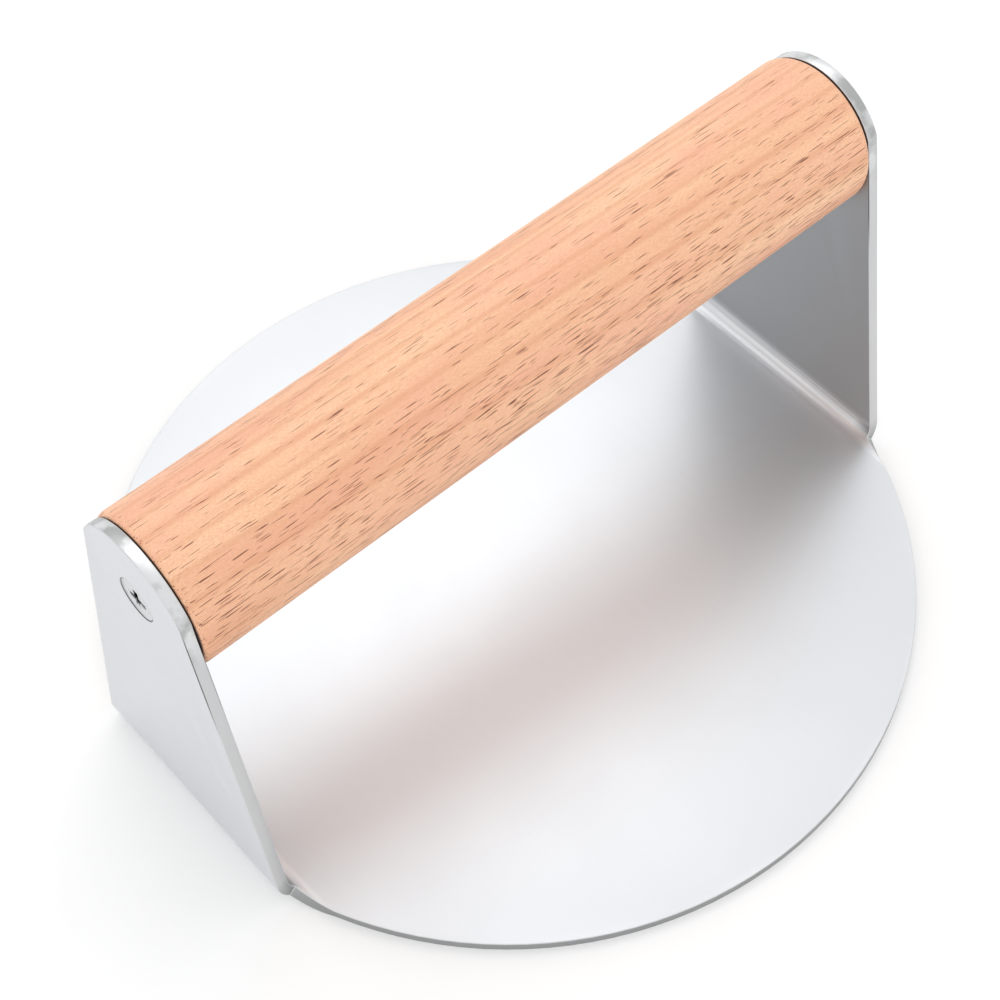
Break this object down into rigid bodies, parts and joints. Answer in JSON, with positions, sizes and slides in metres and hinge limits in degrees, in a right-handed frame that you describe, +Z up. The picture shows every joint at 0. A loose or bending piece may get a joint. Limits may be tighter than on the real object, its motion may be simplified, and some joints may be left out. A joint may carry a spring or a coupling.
{
  "type": "smash burger press",
  "caption": "Round flat steel press plate with two ears folded up from the same sheet, joined by a turned wooden handle that is screwed between them.",
  "frame": {"origin": "centre of the pressing face, on the surface that the press stands on", "axes": "+X along the handle, +Y across it, +Z up from the pressing face to the handle"},
  "size_m": [0.1364, 0.14, 0.0769],
  "materials": {
    "brushed_stainless_steel": "brushed satin",
    "oiled_beech": "turned, sanded and oiled",
    "plain_steel_screw": "plain bright"
  },
  "bodies": {
    "root": {"press_plate": "brushed_stainless_steel", "wooden_handle": "oiled_beech", "handle_screw_left": "plain_steel_screw", "handle_screw_right": "plain_steel_screw"}
  },
  "joints": []
}
